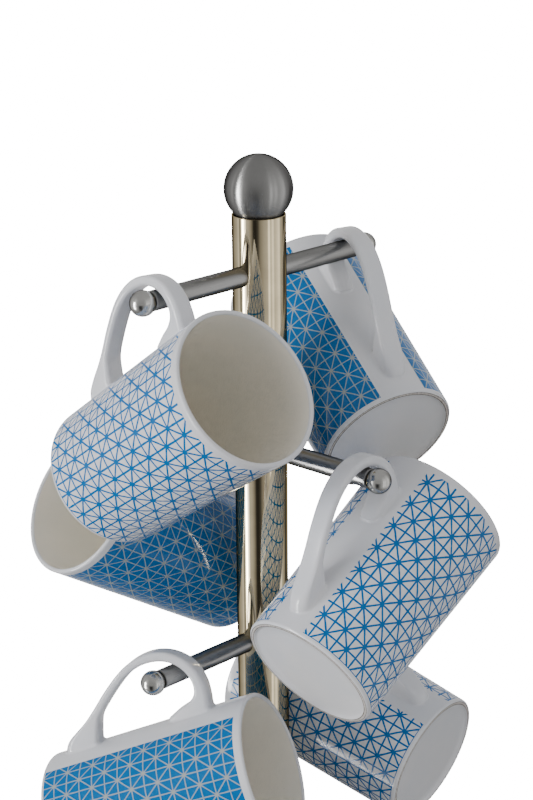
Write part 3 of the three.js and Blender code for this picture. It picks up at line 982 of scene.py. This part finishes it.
# The studio walls as the metal sees them: brightness by angle round the post, in degrees to the
# right of the camera. There are dark flags near the camera and soft boxes at the sides.
STUDIO_WALLS = (
    (-180, 0.9), (-152, 0.9), (-148, 0.1), (-139, 0.1), (-134, 0.5), (-104, 0.6), (-97, 1.0),
    (-90, 0.4), (-86, 0.12), (-81, 0.8), (-77, 5.0), (-73, 30.0), (-70, 30.0), (-66, 6.0),
    (-59, 2.2), (-55, 0.66), (-44, 0.56), (-30, 0.22), (-23, 0.03), (-13, 0.03), (-4, 0.08),
    (4, 0.26), (20, 0.47), (36, 0.62), (42, 1.9), (50, 0.7), (60, 1.5), (68, 0.74), (82, 1.05),
    (93, 1.45), (101, 0.55), (116, 0.5), (121, 0.1), (138, 0.1), (143, 0.9), (180, 0.9),
)
WALL_PEAK = 30.0
CEILING, PIT = 0.5, 0.25  # brightness straight up, and straight down past the floor
# Where the soft boxes end and the flags stop, as the sine of an angle above level, with the most
# that a box and the least that a flag shows past its end.
BOX_TOP, BOX_FOOT, BOX_SOFT, BOX_LIMIT = 0.2, -0.55, 0.03, 0.9
FLAG_TOP, FLAG_SOFT, FLAG_LIMIT = -0.1, 0.08, 0.42
FLOOR_HALF = 8.0
LAMPS = (  # name, place, aim, size, power
    ("key_left", (-1.4, -1.0, 0.5), (0, 0, 0.22), (0.9, 1.2), 18.0),
    ("fill_right", (0.9, -0.9, 1.2), (0, 0, 0.22), (0.9, 0.9), 3.0),
    ("top_soft", (0, 0.2, 1.8), (0, 0, 0.2), (1.4, 1.4), 2.0),
)


def add_surround():
    """A world of soft light: banded walls, a dim ceiling, and plain white for the camera."""
    world = bpy.data.worlds.new("studio")
    world.use_nodes = True
    bpy.context.scene.world = world
    world.node_tree.nodes.clear()
    t = Tree(world.node_tree)
    way = t.node("ShaderNodeTexCoord").outputs["Generated"]
    parts = t.node("ShaderNodeSeparateXYZ", {0: way}).outputs
    around = t.math("ARCTAN2", parts[0], t.math("MULTIPLY", parts[1], -1.0))
    share = t.math("MULTIPLY_ADD", around, 1 / (2 * pi), 0.5)
    bands = t.node("ShaderNodeFloatCurve", {"Value": share})
    curve = bands.mapping.curves[0]
    first, *middle, last = [((angle + 180) / 360, level / WALL_PEAK) for angle, level in STUDIO_WALLS]
    curve.points[0].location = first
    curve.points[-1].location = last
    for place in middle:
        curve.points.new(*place)
    for point in curve.points:
        point.handle_type = "VECTOR"
    bands.mapping.update()
    walls = t.math("MULTIPLY", bands.outputs[0], WALL_PEAK)
    up = parts[2]
    least = t.ramp(up, FLAG_TOP - FLAG_SOFT, FLAG_TOP + FLAG_SOFT, 0.0, FLAG_LIMIT)
    most_above = t.ramp(up, BOX_TOP - BOX_SOFT, BOX_TOP + BOX_SOFT, WALL_PEAK, BOX_LIMIT)
    most_below = t.ramp(up, BOX_FOOT - BOX_SOFT, BOX_FOOT + BOX_SOFT, BOX_LIMIT, WALL_PEAK)
    walls = t.math("MINIMUM", t.math("MAXIMUM", walls, least), most_above)
    walls = t.math("MINIMUM", walls, most_below)
    upper = t.blend(t.ramp(up, 0.35, 0.75), walls, CEILING)
    level = t.blend(t.ramp(up, -0.55, -0.9), upper, PIT)
    soft = t.node("ShaderNodeBackground", {"Color": (1.0, 0.99, 0.98, 1.0), "Strength": level})
    plain = t.node("ShaderNodeBackground", {"Color": (1.0, 1.0, 1.0, 1.0), "Strength": WHITE})
    is_camera = t.node("ShaderNodeLightPath").outputs["Is Camera Ray"]
    both = t.node("ShaderNodeMixShader", {0: is_camera, 1: soft.outputs[0], 2: plain.outputs[0]})
    t.node("ShaderNodeOutputWorld", {"Surface": both.outputs[0]})


def floor_material(colour):
    """A pale floor: it bounces soft light, shows white to the camera, and leaves the metal's view
    of the studio clear."""
    material, t, shader = new_material("studio_floor")
    tint = t.noise(t.place(), 3.0, 2.0)
    t.put(shader["Base Color"], t.mix(tint, rgba([c * 0.98 for c in colour]), rgba(colour)))
    shader["Roughness"].default_value = 0.6
    output = next(n for n in t.tree.nodes if n.type == "OUTPUT_MATERIAL").inputs["Surface"]
    pale = output.links[0].from_socket
    glow = t.node("ShaderNodeEmission", {"Strength": WHITE}).outputs[0]
    shown = t.node("ShaderNodeAddShader", {0: pale, 1: glow}).outputs[0]
    path = t.node("ShaderNodeLightPath").outputs
    seen = t.node("ShaderNodeMixShader", {0: path["Is Camera Ray"], 1: pale, 2: shown}).outputs[0]
    clear = t.node("ShaderNodeBsdfTransparent").outputs[0]
    mixed = t.node("ShaderNodeMixShader", {0: path["Is Glossy Ray"], 1: seen, 2: clear}).outputs[0]
    t.put(output, mixed)
    return material


def add_floor(colour):
    corners = [(x * FLOOR_HALF, y * FLOOR_HALF, 0) for x, y in ((-1, -1), (1, -1), (1, 1), (-1, 1))]
    mesh = bpy.data.meshes.new("studio_floor")
    mesh.from_pydata(corners, [], [[0, 1, 2, 3]])
    make_object("studio_floor", mesh, floor_material(colour))


def add_light(name, place, aim, size, power):
    data = bpy.data.lights.new(name, "AREA")
    data.shape = "RECTANGLE"
    data.size, data.size_y = size
    data.energy = power
    light = bpy.data.objects.new(name, data)
    bpy.context.scene.collection.objects.link(light)
    light.visible_glossy = False
    way = Vector(aim) - Vector(place)
    light.matrix_world = Matrix.Translation(place) @ way.to_track_quat("-Z", "Y").to_matrix().to_4x4()


# ------------ operators


class MUGTREE_OT_stage(Operator):
    """Adds the floor, the soft light and the camera"""

    bl_idname = "mugtree.stage"
    bl_label = "Stage"

    def execute(self, context):
        add_camera()
        add_surround()
        add_floor(context.scene.mugtree_colours.floor)
        for lamp in LAMPS:
            add_light(*lamp)
        return {"FINISHED"}


class MUGTREE_OT_base(Operator):
    """Makes the base's spun cover"""

    bl_idname = "mugtree.base"
    bl_label = "Base"

    def execute(self, context):
        finishes = stand_finishes(context.scene.mugtree_colours)
        mesh = cover_mesh(context.scene.mugtree_sizes)
        cover = make_object("base_cover_spun", mesh, finishes["brushed_steel"])
        finish_piece(cover, "stand", "brushed_steel", "base_cover")
        return {"FINISHED"}


class MUGTREE_OT_post(Operator):
    """Makes the plated post with its cross holes, and the steel ball on top"""

    bl_idname = "mugtree.post"
    bl_label = "Post and ball"

    def execute(self, context):
        sizes = context.scene.mugtree_sizes
        finishes = stand_finishes(context.scene.mugtree_colours)
        post = make_object("post_plated", post_mesh(sizes), finishes["plated_steel"])
        cutters = []
        for level in LEVELS:
            radius, reach = sizes.rod_radius + HOLE_GAP, DRILL_REACH
            outline = [(0, -reach), (radius, -reach), (radius, reach), (0, reach)]
            drill = make_mesh("drill", *turned(outline, 64))
            drill.transform(arm_frame(level, "front") @ Matrix.Rotation(pi / 2, 4, "Y"))
            cutters.append(make_object("drill_" + level, drill))
        cut_holes(post, cutters)
        keep_round(post.data)
        finish_piece(post, "stand", "plated_steel", "post_tube")
        ball = make_object("ball_brushed", finial_mesh(sizes), finishes["finial"])
        finish_piece(ball, "stand", "brushed_steel", "finial_ball")
        return {"FINISHED"}


class MUGTREE_OT_arms(Operator):
    """Sets the three rods and the six tip balls along the arms"""

    bl_idname = "mugtree.arms"
    bl_label = "Arms"

    def execute(self, context):
        sizes = context.scene.mugtree_sizes
        finishes = stand_finishes(context.scene.mugtree_colours)
        rods, tips = [], []
        for level in LEVELS:
            place = arm_frame(level, "front")
            rods.append((place.translation, place.to_euler()))
            for end in ENDS:
                place = arm_frame(level, end)
                tips.append((place @ Vector((sizes.tip_reach, 0, 0)), place.to_euler()))
        rod = copied("arm_rods_brushed", rod_mesh(sizes), rods, finishes["brushed_steel"])
        finish_piece(rod, "stand", "brushed_steel", *["arm_rod_" + level for level in LEVELS])
        tip = copied("arm_tips_polished", tip_mesh(sizes), tips, finishes["polished_steel"])
        names = [f"arm_tip_{level}_{end}" for level in LEVELS for end in ENDS]
        finish_piece(tip, "stand", "polished_steel", *names)
        return {"FINISHED"}


class MUGTREE_OT_inner_parts(Operator):
    """Gives the parts that keep their own shape a finish: pad, weight, bolt, plugs and studs"""

    bl_idname = "mugtree.inner_parts"
    bl_label = "Inner parts"

    def execute(self, context):
        finishes = stand_finishes(context.scene.mugtree_colours)
        kinds = {
            "base_pad": "pad_rubber", "base_weight": "cast_weight", "base_bolt": "zinc_steel",
            "base_washer": "zinc_steel", "post_bottom_plug": "zinc_steel", "post_top_plug": "nylon",
            "finial_stud": "zinc_steel",
        }
        for level in LEVELS:
            kinds["arm_block_" + level] = "nylon"
            for end in ENDS:
                kinds[f"tip_stud_{level}_{end}"] = "zinc_steel"
        for node, finish in kinds.items():
            for slot in frame["nodes"][node].material_slots:
                slot.material = finishes[finish]
        return {"FINISHED"}


class MUGTREE_OT_mugs(Operator):
    """Makes the six printed mugs, each on its own arm"""

    bl_idname = "mugtree.mugs"
    bl_label = "Mugs"

    def execute(self, context):
        sizes, colours = context.scene.mugtree_sizes, context.scene.mugtree_colours
        outside = plain_china("china_outside", colours.glaze)
        # Painted shade: the inside gets its own warm colour in place of the outside's glaze.
        inside = plain_china("china_inside_shade_tint", colours.inside_shade_tint)
        foot = bare_foot("china_foot", (0.40, 0.37, 0.35), (0.66, 0.64, 0.62))
        edge = bare_foot("china_foot_edge", (0.06, 0.05, 0.045), (0.26, 0.23, 0.21))
        for name in HANG:
            kind = PRINTS[name][0]
            mesh = mug_mesh(sizes, name)
            printed = printed_china(f"china_{kind}_print", kind == "blue", colours)
            mug = make_object(f"mug_{name}_china", mesh, printed, outside, inside, foot, edge)
            finish_piece(mug, "mug_" + name, f"{kind}_print_china", "mug_" + name)
        return {"FINISHED"}


class MUGTREE_PT_panel(Panel):
    """Lists what the mug tree is made of"""

    bl_idname = "MUGTREE_PT_panel"
    bl_label = "Mug tree"
    bl_space_type = "VIEW_3D"
    bl_region_type = "UI"
    bl_category = "Mug tree"

    def draw(self, context):
        for group in (context.scene.mugtree_sizes, context.scene.mugtree_colours):
            box = self.layout.box()
            for key in group.__annotations__:
                box.prop(group, key)
        for step in STEPS:
            self.layout.operator(step.bl_idname)


STEPS = (
    MUGTREE_OT_stage,
    MUGTREE_OT_base,
    MUGTREE_OT_post,
    MUGTREE_OT_arms,
    MUGTREE_OT_inner_parts,
    MUGTREE_OT_mugs,
)
CLASSES = (MugTreeSizes, MugTreeColours, *STEPS, MUGTREE_PT_panel)


def register():
    for cls in CLASSES:
        bpy.utils.register_class(cls)
    bpy.types.Scene.mugtree_sizes = PointerProperty(type=MugTreeSizes)
    bpy.types.Scene.mugtree_colours = PointerProperty(type=MugTreeColours)


def unregister():
    del bpy.types.Scene.mugtree_colours
    del bpy.types.Scene.mugtree_sizes
    for cls in reversed(CLASSES):
        bpy.utils.unregister_class(cls)


def main():
    register()
    bpy.ops.mugtree.stage()
    bpy.ops.mugtree.base()
    bpy.ops.mugtree.post()
    bpy.ops.mugtree.arms()
    bpy.ops.mugtree.inner_parts()
    bpy.ops.mugtree.mugs()


if __name__ == "__main__":
    main()
